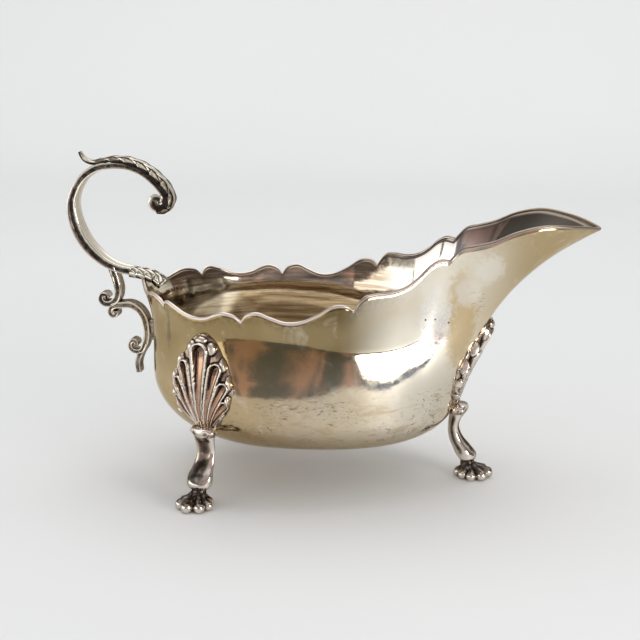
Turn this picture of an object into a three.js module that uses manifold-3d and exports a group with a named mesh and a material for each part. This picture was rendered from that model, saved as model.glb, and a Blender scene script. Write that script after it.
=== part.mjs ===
// Sauce boat: a raised silver bowl with a scalloped rim and a long spout, a flying scroll handle
// with acanthus leaves, and three cast legs with shell knees and paw feet, all soldered together.
// Millimetres, +Z up, spout towards +X, origin at the bottom centre of the whole piece.
import * as THREE from "three";
import { mergeVertices } from "three/addons/utils/BufferGeometryUtils.js";
import Module from "manifold-3d";

const wasm = await Module();
wasm.setup();

// Bowl, measured from the centre of its round back
const spoutReach = 110;
const rimHalfWidth = 40.3;
const backRadius = 40.2;
const bellyHalfWidth = 42;
const bellyReach = 62.5;
const bellyFullness = 0.1;
const keelHeight = 11.8;
const keelHalfLength = 12;
const keelForward = 9;
const bellyHeight = 31.5;
const bellyHeightFall = 6.5;
const frontLean = 16;
const rimHeight = 61.1;
const wall = 1.1;

// Fullness of the curves between keel, belly and rim, as shares of their span
const bottomFlatness = 0.55;
const bottomRise = 0.56;
const sideFullness = 0.46;

// Handle
const scrollWidth = 6.8;
const scrollThickness = 2.6;
const leafThickness = 1.4;
const leafSpread = 1.15;
const strutWidth = 5.6;
const strutThickness = 2.6;
const bracketWidth = 5.4;
const bracketThickness = 2.4;
const rimLeafWidth = 9;
const rimLeafThickness = 2.8;

// Legs
const rearLegAngle = 112.5;
const collarHeight = 25.8;
const ankleHeight = 6;
const shellLength = 31;
const shellHalfWidth = 10.8;
const shellThickness = 3.2;
const shellEdge = 0.8;
const legWidth = 7.2;
const footLength = 14;
const footWidth = 11;
const footForward = 6.6;

// Solder seam left between neighbouring pieces
const seam = 0.3;

// Rim seen from above: angle round the belly, forward of the centre, to the side
const rimOutline = [
  [0, 110, 0],
  [5, 106, 8],
  [9, 100.5, 14],
  [14, 91.5, 19.2],
  [19, 83, 21.6],
  [24, 75.5, 22.2],
  [28, 69.5, 21.6],
  [33, 62.2, 21.8],
  [45, 48.5, 30.4],
  [58, 33.5, 38.2],
  [76, 14.3, 40.3],
  [94, -2.8, 40.2],
  [112, -15.6, 38.7],
  [126, -24.7, 34],
  [140, -31.9, 26.7],
  [160, -40.6, 14.8],
  [180, -45, 0],
];

// Rim heights above the lowest cusp, one list for each panel from cusp to cusp: angle, rise
const rimPanels = [
  [[0, 26.3], [5, 27.8], [9, 29], [14, 30], [19, 28.3], [24, 25.1], [28, 23.6], [31, 22.2], [33, 18.5]],
  [[33, 18.5], [36, 19.3], [40.5, 15.5], [45, 11.5], [52, 9.9], [58, 4.6]],
  [[58, 4.6], [62.5, 6.7], [68, 3.6], [77, 0.7], [84, 2.2], [89, 3.6], [94, 0]],
  [[94, 0], [99, 2.9], [106, 2], [115, 0.8], [125, 1.6], [134, 4.6], [140, 1.6]],
  [[140, 1.6], [148, 5.2], [158, 5.4], [168, 4.4], [180, 5.6]],
];
const panelSteps = [12, 8, 12, 12, 8];

// How the wall leaves the rim: angle, direction seen from above, lean away from upright
const rimFlare = [
  [0, 0, 62],
  [5, 9, 52],
  [9, 16, 44],
  [14, 25, 34],
  [19, 34, 26],
  [28, 48, 14],
  [36, 58, 10],
  [46, 62, 9],
  [58, 68, 10],
  [76, 82, 11],
  [94, 97, 12],
  [112, 112, 13],
  [140, 140, 14],
  [160, 160, 20],
  [180, 180, 34],
];

const toRadians = THREE.MathUtils.degToRad;
const vector = (x, y, z) => new THREE.Vector3(x, y, z);

// Smooth curve through the rows of a table, which can be told to start or end level
function readTable(rows, at, column, startsLevel = false, endsLevel = false) {
  const last = rows.length - 1;
  let i = 0;
  while (i < last - 1 && at > rows[i + 1][0]) i += 1;
  const rise = (k) => (rows[k + 1][column] - rows[k][column]) / (rows[k + 1][0] - rows[k][0]);
  const slope = (k) => {
    if (k === 0) return startsLevel ? 0 : rise(0);
    if (k === last) return endsLevel ? 0 : rise(last - 1);
    const before = rows[k][0] - rows[k - 1][0];
    const after = rows[k + 1][0] - rows[k][0];
    return (rise(k - 1) * after + rise(k) * before) / (before + after);
  };
  const step = rows[i + 1][0] - rows[i][0];
  const t = (at - rows[i][0]) / step;
  const t2 = t * t;
  const t3 = t2 * t;
  return (2 * t3 - 3 * t2 + 1) * rows[i][column] + (t3 - 2 * t2 + t) * step * slope(i)
    + (3 * t2 - 2 * t3) * rows[i + 1][column] + (t3 - t2) * step * slope(i + 1);
}

function rimPoint(angle) {
  const forward = readTable(rimOutline, angle, 1, true, true);
  const side = readTable(rimOutline, angle, 2);
  const panel = rimPanels.find((rows) => angle <= rows.at(-1)[0]) ?? rimPanels.at(-1);
  const rise = readTable(panel, angle, 1, panel === rimPanels[0], panel === rimPanels.at(-1));
  const sideScale = rimHalfWidth / Math.max(...rimOutline.map((row) => row[2]));
  const forwardScale = forward > 0 ? spoutReach / rimOutline[0][1] : sideScale;
  return vector(forward * forwardScale, side * sideScale, rimHeight + rise);
}

// One rib of the bowl, from the keel out to the belly and up to the rim, as two joined curves
function bowlRib(angle) {
  const turn = toRadians(angle);
  const [forwards, sideways] = [Math.cos(turn), Math.sin(turn)];
  const atFront = angle < 90;
  const fullness = atFront ? bellyFullness : backRadius / bellyHalfWidth - 1;
  const belly = vector(
    (atFront ? bellyReach : backRadius) * forwards,
    bellyHalfWidth * sideways * (1 + fullness * forwards ** 2),
    bellyHeight - bellyHeightFall * forwards,
  );
  const keel = vector(keelForward + keelHalfLength * forwards, 0, keelHeight);
  const rim = rimPoint(angle);
  const lean = atFront ? toRadians(frontLean * forwards ** 2) : 0;
  const up = vector(Math.sin(lean), 0, Math.cos(lean));
  const heading = toRadians(readTable(rimFlare, angle, 1));
  const flare = toRadians(readTable(rimFlare, angle, 2, true, true));
  const over = vector(Math.cos(heading), Math.sin(heading), 0).multiplyScalar(Math.sin(flare));
  over.z = Math.cos(flare);
  const side = sideFullness * rim.distanceTo(belly);
  const bottom = belly.clone().sub(keel).setZ(0).multiplyScalar(bottomFlatness);
  const drop = bottomRise * (belly.z - keel.z) / Math.cos(lean);
  const keelEnd = keel.clone().add(bottom);
  const bellyLow = belly.clone().addScaledVector(up, -drop);
  const bellyHigh = belly.clone().addScaledVector(up, side);
  const rimEnd = rim.clone().addScaledVector(over, -side);
  return {
    lower: new THREE.CubicBezierCurve3(keel, keelEnd, bellyLow, belly),
    upper: new THREE.CubicBezierCurve3(belly, bellyHigh, rimEnd, rim),
  };
}

// Outside of the bowl: `angle` runs from -180 to 180, `level` from 0 at the keel to 1 at the rim
const bellyLevel = 0.5;
function bowlPoint(angle, level) {
  const rib = bowlRib(Math.abs(angle));
  const point = level <= bellyLevel
    ? rib.lower.getPoint(level / bellyLevel)
    : rib.upper.getPoint((level - bellyLevel) / (1 - bellyLevel));
  if (angle < 0) point.y = -point.y;
  if (angle === 0 || Math.abs(angle) === 180) point.y = 0;
  return point;
}

function bowlNormal(angle, level) {
  if (level === 0) return vector(0, 0, -1);
  const [angleStep, levelStep] = [0.25, 0.01];
  const wrap = (a) => (a > 180 ? a - 360 : a < -180 ? a + 360 : a);
  const around = bowlPoint(wrap(angle + angleStep), level).sub(bowlPoint(wrap(angle - angleStep), level));
  const lower = Math.max(level - levelStep, 0);
  const upper = Math.min(level + levelStep, 1);
  const up = bowlPoint(angle, upper).sub(bowlPoint(angle, lower));
  const normal = around.cross(up).normalize();
  if (angle === 0 || Math.abs(angle) === 180) normal.setY(0).normalize();
  return normal;
}

function offsetPoint(angle, level, distance) {
  return bowlPoint(angle, level).addScaledVector(bowlNormal(angle, level), distance);
}

// Closed solid from points and triangles, turned the right way out
function solidFrom(points, triangles) {
  const build = (faces) => {
    const geometry = new THREE.BufferGeometry().setFromPoints(points);
    geometry.setIndex(faces.flat());
    const merged = mergeVertices(geometry, 1e-3);
    const index = merged.index.array;
    const kept = [];
    for (let i = 0; i < index.length; i += 3) {
      const [a, b, c] = [index[i], index[i + 1], index[i + 2]];
      if (a !== b && b !== c && c !== a) kept.push(a, b, c);
    }
    return new wasm.Manifold(new wasm.Mesh({
      numProp: 3,
      vertProperties: merged.attributes.position.array,
      triVerts: new Uint32Array(kept),
    }));
  };
  const solid = build(triangles);
  return solid.volume() > 0 ? solid : build(triangles.map(([a, b, c]) => [a, c, b]));
}

// Triangles between two rows of `count` points that start at `low` and `high`; the row closes on itself
function band(low, high, count, flip = false) {
  const triangles = [];
  for (let i = 0; i < count; i += 1) {
    const j = (i + 1) % count;
    const quad = [[low + i, low + j, high + j], [low + i, high + j, high + i]];
    quad.forEach(([a, b, c]) => triangles.push(flip ? [a, c, b] : [a, b, c]));
  }
  return triangles;
}

// Solid through a stack of closed rings, with a flat fan at each end
function loft(rings) {
  const count = rings[0].length;
  const points = rings.flat();
  const triangles = [];
  for (let i = 0; i + 1 < rings.length; i += 1) triangles.push(...band(i * count, (i + 1) * count, count));
  [0, rings.length - 1].forEach((end) => {
    const middle = rings[end].reduce((sum, point) => sum.add(point), vector(0, 0, 0)).divideScalar(count);
    points.push(middle);
    const first = end * count;
    for (let i = 0; i < count; i += 1) {
      const pair = [first + i, first + (i + 1) % count];
      triangles.push(end === 0 ? [points.length - 1, pair[1], pair[0]] : [points.length - 1, ...pair]);
    }
  });
  return solidFrom(points, triangles);
}

// Angles of the bowl's ribs, once round, with a rib at every cusp
function ribAngles() {
  const half = [];
  rimPanels.forEach((rows, i) => {
    const [start, end] = [rows[0][0], rows.at(-1)[0]];
    for (let k = 0; k < panelSteps[i]; k += 1) half.push(start + (end - start) * k / panelSteps[i]);
  });
  return [...half, 180, ...half.slice(1).reverse().map((a) => -a)];
}

const levelRows = 12;

// Wall of the bowl between two distances from its outside, with the rim raised by `rise`
function bowlWall(outside, inside, rise = 0) {
  const angles = ribAngles();
  const count = angles.length;
  const points = [];
  const triangles = [];
  [outside, inside].forEach((distance, skin) => {
    for (let row = 0; row <= levelRows; row += 1) {
      const level = row / levelRows;
      angles.forEach((angle) => {
        const point = offsetPoint(angle, level, distance);
        if (row === levelRows) point.z += rise;
        points.push(point);
      });
      if (row > 0) {
        const low = (skin * (levelRows + 1) + row - 1) * count;
        triangles.push(...band(low, low + count, count, skin === 1));
      }
    }
  });
  const outerRim = levelRows * count;
  triangles.push(...band(outerRim, (2 * levelRows + 1) * count, count));
  return solidFrom(points, triangles);
}

const makeBowl = () => bowlWall(0, -wall);

// Section of the bars: a power under 1 squares up the oval
const squareness = 0.7;
const squared = (value) => Math.sign(value) * Math.abs(value) ** squareness;

// Bar swept along an upright curve through [x, z] points; its section is a rounded oblong
function bar(path, thickness, width, steps, grow = 0, taper = () => 1) {
  const curve = new THREE.CatmullRomCurve3(path.map(([x, z]) => vector(x, 0, z)), false, "centripetal");
  const sides = 12;
  const rings = [];
  for (let i = 0; i <= steps; i += 1) {
    const t = i / steps;
    const along = curve.getTangentAt(t);
    const centre = curve.getPointAt(t).addScaledVector(along, i === 0 ? -grow : i === steps ? grow : 0);
    const across = vector(-along.z, 0, along.x);
    const ring = [];
    for (let k = 0; k < sides; k += 1) {
      const turn = (k + 0.5) * 2 * Math.PI / sides;
      const deep = squared(Math.cos(turn)) * (thickness * taper(t) / 2 + grow);
      const wide = squared(Math.sin(turn)) * (width * taper(t) / 2 + grow);
      ring.push(centre.clone().addScaledVector(across, deep).add(vector(0, wide, 0)));
    }
    rings.push(ring);
  }
  return loft(rings);
}

// Rolled end of a scroll: a short round drum with a slight crown, lying across the handle
function rolledEnd(x, z, radius, width, grow = 0) {
  const profile = [[0, -1.06], [0.6, -1], [1, -0.72], [1, 0.72], [0.6, 1], [0, 1.06]];
  const outline = profile.map(([r, y]) => new THREE.Vector2(r * (radius + grow), y * (width / 2 + grow)));
  const geometry = new THREE.LatheGeometry(outline, 14).translate(x, 0, z);
  const place = geometry.getAttribute("position");
  const points = [...Array(place.count).keys()].map((i) => new THREE.Vector3().fromBufferAttribute(place, i));
  const index = geometry.index.array;
  const triangles = [];
  for (let i = 0; i < index.length; i += 3) triangles.push([index[i], index[i + 1], index[i + 2]]);
  return solidFrom(points, triangles);
}

// Handle curves, from the top of the rim at the back of the bowl
const scrollPath = [
  [-3.3, 2.1], [-7.3, 2.8], [-11.6, 4.5], [-15.4, 7.3], [-18.9, 11.1], [-21.6, 16], [-23.1, 21.2],
  [-23.1, 26], [-21.6, 30.3], [-18.7, 34.4], [-14.4, 37.2], [-9, 38.3], [-3.3, 38], [2.1, 35.9],
  [5.2, 33.5], [7.5, 31.1], [8.9, 28.5], [8.6, 26.2],
];
const scrollEnd = [7.6, 25.7];
const scrollEndRadius = 3.4;
const leafPath = [
  [-20.2, 42.6], [-18.9, 40.1], [-15.9, 38.9], [-12, 39.8], [-8.9, 40.2], [-3, 39.9], [3.2, 37.4],
  [6.5, 34.9], [9.1, 32.2], [10.9, 29.2], [11.4, 27.2],
];
const strutPath = [[-10.2, 2.6], [-8.5, -1.6], [-7.9, -5], [-8.6, -7.5], [-10.9, -8.9]];
const strutEnd = [-12.3, -8.1];
const strutEndRadius = 2.1;
const bracketPath = [
  [-9.6, -10.6], [-7, -9.8], [-4.3, -9.7], [-1.4, -11], [0.6, -13.6], [1.5, -17], [1.6, -20.8],
  [0.8, -24], [-0.9, -27], [-2, -30.4], [-1.7, -33.8],
];
const bracketTop = [-9.1, -12.4];
const bracketCurl = [-2.7, -23.9];
const bracketCurlStem = [[0.6, -24.4], [-1, -25.8], [-2.6, -25]];
const bracketEndRadius = 1.9;
const bracketPad = [[1.2, -18.6], [5.6, -18.6]];
const bracketPadHeight = 7;
const bracketSpan = 17.5;
const rimLeafPath = [[-3.7, 2.1], [-1.6, 1.6], [0.6, 1.4], [3.4, 0.9], [6, -0.3], [8, -2]];

// Size of each bar along its length, as a share of its full section
const scrollTaper = (t) => 0.78 + 0.3 * Math.sin(Math.PI * Math.min(1.6 * t, 1)) ** 2 - 0.1 * t;
const bracketTaper = (t) => 1 - 0.25 * t ** 4;
const leafTaper = (t) => 0.35 + 0.75 * Math.sin(Math.PI * Math.min(1.4 * t, 1) / 2) + 0.1 * t;
const rimLeafTaper = (t) => 0.75 + 0.35 * t;

// Value between two limits at which a rising measure passes a target, by halving
function findValue(start, end, target, measure) {
  const halvings = 24;
  let [low, high] = [start, end];
  for (let i = 0; i < halvings; i += 1) {
    const middle = (low + high) / 2;
    if (measure(middle) < target) low = middle;
    else high = middle;
  }
  return (low + high) / 2;
}

// The bracket reaches from the strut's curl to the wall, and its points are drawn for `bracketSpan`
function bracketReach(place) {
  const height = place.z + bracketPad[0][1];
  const level = findValue(bellyLevel, 1, height, (share) => bowlPoint(180, share).z);
  const span = bowlPoint(180, level).x - place.x - strutEnd[0];
  return ([x, z]) => [strutEnd[0] + (x - strutEnd[0]) * span / bracketSpan, z];
}

function makeHandle(place) {
  const at = (path) => path.map(([x, z]) => [x + place.x, z + place.z]);
  const drum = ([x, z], radius, width, grow) => rolledEnd(x + place.x, z + place.z, radius, width, grow);
  const reach = bracketReach(place);
  const toWall = (path) => at(path.map(reach));
  const scroll = (grow = 0) => bar(at(scrollPath), scrollThickness, scrollWidth, 42, grow, scrollTaper)
    .add(drum(scrollEnd, scrollEndRadius, scrollWidth, grow));
  const bracketBar = (grow) => bar(
    toWall(bracketPath), bracketThickness, bracketWidth, 26, grow, bracketTaper,
  );
  const bracket = (grow = 0) => bracketBar(grow)
    .add(drum(reach(bracketTop), bracketEndRadius, bracketWidth, grow))
    .add(bar(toWall(bracketCurlStem), bracketThickness * 0.8, bracketWidth, 6, grow))
    .add(bar(toWall(bracketPad), bracketPadHeight, bracketWidth * 0.8, 4, grow))
    .add(drum(reach(bracketCurl), bracketEndRadius, bracketWidth, grow));
  const leaf = bar(at(leafPath), leafThickness, scrollWidth * leafSpread, 30, 0, leafTaper);
  const strut = bar(at(strutPath), strutThickness, strutWidth, 12)
    .add(drum(strutEnd, strutEndRadius, strutWidth));
  const rimLeaf = bar(at(rimLeafPath), rimLeafThickness, rimLeafWidth, 12, 0, rimLeafTaper);
  const wallKeepOut = bowlWall(seam, -wall - seam, seam);
  return {
    handle_scroll: scroll(),
    handle_leaf_cap: leaf.subtract(scroll(seam)),
    handle_rim_leaf: rimLeaf.subtract(wallKeepOut).subtract(scroll(seam)),
    handle_strut: strut.subtract(scroll(seam)).subtract(bracket(seam)),
    handle_bracket: bracket().subtract(wallKeepOut),
  };
}

// Point on the bowl's outside at a height and a distance to the side of a leg's centre line
function wallPoint(leg, side, height, distance) {
  const levelAt = (angle) => findValue(0.05, 1, height, (level) => bowlPoint(angle, level).z);
  const across = vector(-Math.sin(leg), Math.cos(leg), 0);
  const degrees = THREE.MathUtils.radToDeg(leg);
  const sideAt = (angle) => bowlPoint(angle, levelAt(angle)).dot(across);
  const angle = side === 0 && degrees === 0 ? 0 : findValue(degrees - 60, degrees + 60, side, sideAt);
  return offsetPoint(angle, levelAt(angle), distance);
}

// Shell outline: share of its height, share of its half width
const shellOutline = [
  [0, 0.42],
  [0.1, 0.6],
  [0.22, 0.84],
  [0.38, 1],
  [0.58, 0.84],
  [0.78, 0.56],
  [0.92, 0.34],
  [1, 0.16],
];

// Height at which a line drawn up the wall from the collar is as long as the shell
function shellTop(leg) {
  const step = 1;
  let height = collarHeight + seam;
  let length = 0;
  let point = wallPoint(leg, 0, height, 0);
  while (length < shellLength) {
    const next = wallPoint(leg, 0, height + step, 0);
    const part = next.distanceTo(point);
    const share = Math.min(1, (shellLength - length) / part);
    height += step * share;
    length += part;
    point = next;
  }
  return height;
}

function makeShell(leg) {
  const top = shellTop(leg);
  const columns = 8;
  const rings = [];
  const rows = 12;
  for (let row = 0; row <= rows; row += 1) {
    const share = row / rows;
    const height = THREE.MathUtils.lerp(collarHeight + seam, top, share);
    const half = shellHalfWidth * readTable(shellOutline, share, 1);
    const back = [];
    const front = [];
    for (let column = 0; column <= columns; column += 1) {
      const place = 2 * column / columns - 1;
      const crown = (1 - place ** 2) * Math.min(1, 0.35 + 3 * (1 - share));
      const thickness = shellEdge + (shellThickness - shellEdge) * crown;
      back.push(wallPoint(leg, place * half, height, 0));
      front.unshift(wallPoint(leg, place * half, height, seam + thickness));
    }
    rings.push([...back, ...front]);
  }
  return loft(rings);
}

// Leg profile: share of the height from ankle to collar, forward of the wall at the collar,
// half depth, share of the leg's half width
const legProfile = [
  [0, 5.1, 2.5, 0.92],
  [0.04, 5.1, 2.9, 1.12],
  [0.12, 4.6, 3.5, 1.2],
  [0.24, 3.4, 3.5, 1.12],
  [0.35, 1.9, 2.9, 0.98],
  [0.47, 0.9, 2.3, 0.9],
  [0.61, 0.4, 2.1, 0.92],
  [0.73, 0.9, 2.5, 1],
  [0.83, 1.6, 3.2, 1.14],
  [0.92, 2.2, 3.6, 1.3],
  [1, 2.4, 3.1, 1.14],
];

// Foot profile: share of the ankle's height, forward of the foot's middle,
// share of its half length, share of its half width
const footProfile = [
  [0, 0, 0.9, 0.9],
  [0.2, 0, 1, 1],
  [0.43, -0.2, 0.94, 0.95],
  [0.63, -0.8, 0.66, 0.76],
  [1, -1.6, 0.36, 0.6],
];
const toes = 5;
const toeSwell = 0.05;

function ringAt(leg, origin, forward, height, depth, width, lobes = 0) {
  const out = vector(Math.cos(leg), Math.sin(leg), 0);
  const across = vector(-Math.sin(leg), Math.cos(leg), 0);
  const ring = [];
  const sides = 20;
  for (let k = 0; k < sides; k += 1) {
    const turn = 2 * Math.PI * k / sides;
    const swell = 1 + lobes * Math.max(0, Math.cos(turn)) * Math.cos(2 * toes * turn);
    const centre = origin.clone().setZ(height).addScaledVector(out, forward + depth * swell * Math.cos(turn));
    ring.push(centre.addScaledVector(across, width * swell * Math.sin(turn)));
  }
  return ring;
}

// Bowl filled in solid up to its last row below the rim, and grown by the seam
function bowlKeepOut() {
  const rows = [...Array(levelRows - 1).keys()].map((row) => (row + 1) / levelRows);
  return loft(rows.map((level) => ribAngles().map((angle) => offsetPoint(angle, level, seam))));
}

function makeLeg(leg, keepOut) {
  const origin = wallPoint(leg, 0, collarHeight, 0);
  const shank = (grow = 0) => loft(legProfile.map(([rise, forward, depth, width]) => {
    const height = THREE.MathUtils.lerp(ankleHeight + seam, collarHeight + grow, rise);
    return ringAt(leg, origin, forward, height, depth + grow, width * legWidth / 2 + grow);
  }));
  const foot = loft(footProfile.map(([rise, forward, length, width]) => {
    const [depth, half] = [length * footLength / 2, width * footWidth / 2];
    return ringAt(leg, origin, footForward + forward, rise * ankleHeight, depth, half, toeSwell);
  }));
  return {
    leg: shank().subtract(keepOut),
    foot,
    shell_knee: makeShell(leg).subtract(shank(seam)).subtract(keepOut),
  };
}

// Finishes: colour, roughness, metalness
const finishes = {
  bowl: [0xc9bf9f, 0.22],
  handle: [0x9a917f, 0.3],
  leg: [0xa0988a, 0.28],
  foot: [0x8a8377, 0.34],
};

function toMesh(name, solid, finish) {
  const mesh = solid.getMesh();
  const geometry = new THREE.BufferGeometry();
  geometry.setAttribute("position", new THREE.BufferAttribute(new Float32Array(mesh.vertProperties), 3));
  geometry.setIndex([...mesh.triVerts]);
  geometry.computeVertexNormals();
  const [color, roughness] = finishes[finish];
  const made = new THREE.Mesh(geometry, new THREE.MeshStandardMaterial({ color, roughness, metalness: 1 }));
  made.name = name;
  return made;
}

const sauceBoat = new THREE.Group();
sauceBoat.add(toMesh("bowl", makeBowl(), "bowl"));

Object.entries(makeHandle(rimPoint(180))).forEach(([name, solid]) => {
  sauceBoat.add(toMesh(name, solid, "handle"));
});

const legAngles = { front: 0, rear_left: rearLegAngle, rear_right: -rearLegAngle };
const keepOut = bowlKeepOut();
Object.entries(legAngles).forEach(([place, angle]) => {
  Object.entries(makeLeg(toRadians(angle), keepOut)).forEach(([piece, solid]) => {
    sauceBoat.add(toMesh(`${place}_${piece}`, solid, piece === "foot" ? "foot" : "leg"));
  });
});

// Stand the piece on its feet, with the origin under the middle of its length
const extent = new THREE.Box3().setFromObject(sauceBoat);
const middle = extent.getCenter(new THREE.Vector3());
sauceBoat.position.set(-middle.x, -middle.y, -extent.min.z);

export default sauceBoat;
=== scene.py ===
# Sauce boat in worn silver: raised bowl, scroll handle, shell-kneed legs, on a pale table
import math
import bmesh
import bpy
import numpy as np
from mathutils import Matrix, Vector


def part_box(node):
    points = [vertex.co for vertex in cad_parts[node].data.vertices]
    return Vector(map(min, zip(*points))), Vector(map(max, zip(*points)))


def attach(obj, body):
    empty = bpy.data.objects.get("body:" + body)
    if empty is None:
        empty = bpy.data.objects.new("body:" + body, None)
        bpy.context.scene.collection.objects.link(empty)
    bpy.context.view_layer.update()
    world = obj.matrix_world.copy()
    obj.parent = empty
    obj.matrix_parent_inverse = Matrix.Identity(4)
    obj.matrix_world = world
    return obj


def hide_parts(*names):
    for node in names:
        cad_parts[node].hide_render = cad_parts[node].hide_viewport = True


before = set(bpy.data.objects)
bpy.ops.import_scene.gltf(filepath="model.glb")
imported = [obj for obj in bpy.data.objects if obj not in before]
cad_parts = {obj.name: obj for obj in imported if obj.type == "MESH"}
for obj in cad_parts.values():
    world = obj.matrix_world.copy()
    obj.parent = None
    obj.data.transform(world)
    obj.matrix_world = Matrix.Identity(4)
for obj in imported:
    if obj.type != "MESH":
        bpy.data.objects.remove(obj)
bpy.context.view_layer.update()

# Sizes are written in millimetres
MM = 0.001

# Bowl sizes
SPOUT_REACH = 110
BACK_RADIUS = 40.2
BELLY_HALF_WIDTH = 42
BELLY_REACH = 62.5
BELLY_FULLNESS = 0.1
KEEL_HEIGHT = 11.8
KEEL_HALF_LENGTH = 12
KEEL_FORWARD = 9
BELLY_HEIGHT = 31.5
BELLY_HEIGHT_FALL = 6.5
FRONT_LEAN = 16
RIM_HEIGHT = 61.1
WALL = 1.1
LIP_BEAD = 1.2
BOTTOM_FLATNESS = 0.55
BOTTOM_RISE = 0.56
SIDE_FULLNESS = 0.46

# The frame's origin is under the middle of the whole boat, the bowl's is the centre of its round back
BACK_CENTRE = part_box("bowl")[1].x / MM - SPOUT_REACH

# Rim seen from above: angle round the belly, forward of the centre, to the side
RIM_OUTLINE = [
    [0, 110, 0], [5, 106, 8], [9, 100.5, 14], [14, 91.5, 19.2], [19, 83, 21.6],
    [24, 75.5, 22.2], [28, 69.5, 21.6], [33, 62.2, 21.8], [45, 48.5, 30.4], [58, 33.5, 38.2],
    [76, 14.3, 40.3], [94, -2.8, 40.2], [112, -15.6, 38.7], [126, -24.7, 34], [140, -31.9, 26.7],
    [160, -40.6, 14.8], [180, -45, 0],
]

# Rim heights above the lowest cusp, one list for each panel: angle, rise
RIM_PANELS = [
    [[0, 26.3], [5, 27.8], [9, 29], [14, 30], [19, 28.3], [24, 25.1], [28, 23.6], [31, 22.2],
     [33, 18.5]],
    [[33, 18.5], [35.5, 18.8], [38, 17.2], [40.5, 14.3], [43.5, 11.7], [48, 9.9], [53, 9.7], [55.7, 8.8],
     [57, 6.9], [58, 4.6]],
    [[58, 4.6], [59.3, 5.9], [61.5, 6.6], [64, 6.3], [68.5, 3.2], [74.5, 0.5], [78.5, 0.3], [83.5, 1.9],
     [87.5, 3.4], [90, 3.1], [92.3, 2], [94, 0]],
    [[94, 0], [96, 1.7], [98.5, 2.6], [101, 2.9], [105, 2.2], [110, 0.8], [116, 0.2], [123, 1],
     [130, 2.9], [135, 3.7], [138, 2.9], [140, 1.4]],
    [[140, 1.4], [141.5, 2.7], [146, 4.1], [151, 4.3], [157, 3.4], [163, 2.7], [170, 3.6], [180, 5.6]],
]

# Ribs made across each panel
PANEL_RIBS = [60, 44, 50, 56, 44]

# Smooth top of the raised sheet that the scallops are cut from: angle, rise
SHEET_TOP = [
    [0, 26.3], [5, 28], [14, 30], [20, 28.7], [27, 25.8], [33, 22.4], [39, 18], [45, 14], [52, 10.9],
    [62, 7.4], [76, 4.7], [89, 4], [100, 3.6], [115, 3.7], [134, 4.8], [150, 5.6], [165, 5.6], [180, 5.6],
]

# How the wall leaves the rim: angle, direction seen from above, lean away from upright
RIM_FLARE = [
    [0, 0, 62], [5, 9, 52], [9, 16, 44], [14, 25, 34], [19, 34, 26], [28, 48, 14],
    [36, 58, 10], [46, 62, 9], [58, 68, 10], [76, 82, 11], [94, 97, 12], [112, 112, 13],
    [140, 140, 14], [160, 160, 20], [180, 180, 34],
]

# Waist between belly and rim: share of the way up, share of the waist's depth
WAIST = [
    [0, 0], [0.2, 0.06], [0.4, 0.25], [0.6, 0.6], [0.76, 0.98], [0.8, 1], [0.84, 0.98], [0.92, 0.6], [1, 0],
]
WAIST_SHARE = 0.8

# The waist round the bowl: angle, depth, share of the way up, inward lean of the belly
WAIST_ROUND = [
    [0, 0, 0.5, 0], [18, 0.3, 0.5, 0], [35, 1.9, 0.52, 3], [48, 2.3, 0.55, 4], [60, 1.8, 0.65, 3],
    [76, 1.2, 0.79, 1], [92, 1.1, 0.82, 0], [130, 1.1, 0.82, 0], [160, 0, 0.82, 0], [180, 0, 0.82, 0],
]


def unit(vectors):
    return vectors / np.maximum(np.linalg.norm(vectors, axis=-1, keepdims=True), 1e-12)


def matched(first, second):
    return np.broadcast_arrays(np.asarray(first, float), np.asarray(second, float))


def side_to_side(count):
    """Places from -1 to 1, closer together at the edges."""
    return np.sin(np.linspace(-math.pi / 2, math.pi / 2, count))


def read_table(rows, at, column, starts_level=False, ends_level=False):
    rows = np.asarray(rows, float)
    at = np.asarray(at, float)
    places = rows[:, 0]
    values = rows[:, column]
    gaps = np.diff(places)
    rises = np.diff(values) / gaps
    slopes = np.empty(len(rows))
    slopes[1:-1] = (rises[:-1] * gaps[1:] + rises[1:] * gaps[:-1]) / (gaps[:-1] + gaps[1:])
    slopes[0] = 0 if starts_level else rises[0]
    slopes[-1] = 0 if ends_level else rises[-1]
    i = np.clip(np.searchsorted(places, at, side="left") - 1, 0, len(rows) - 2)
    t = (at - places[i]) / gaps[i]
    t2 = t * t
    t3 = t2 * t
    start = (2 * t3 - 3 * t2 + 1) * values[i] + (t3 - 2 * t2 + t) * gaps[i] * slopes[i]
    return start + (3 * t2 - 2 * t3) * values[i + 1] + (t3 - t2) * gaps[i] * slopes[i + 1]


def rim_height(angle):
    """Height of the scalloped edge."""
    rise = np.zeros_like(angle)
    for i, panel in enumerate(RIM_PANELS):
        here = (angle >= panel[0][0]) & (angle <= panel[-1][0])
        rise[here] = read_table(panel, angle[here], 1, i == 0, i == len(RIM_PANELS) - 1)
    return RIM_HEIGHT + rise


def sheet_edge(angle):
    forward = read_table(RIM_OUTLINE, angle, 1, True, True)
    side = read_table(RIM_OUTLINE, angle, 2)
    return np.stack([forward, side, RIM_HEIGHT + read_table(SHEET_TOP, angle, 1, True, True)], -1)


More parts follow.
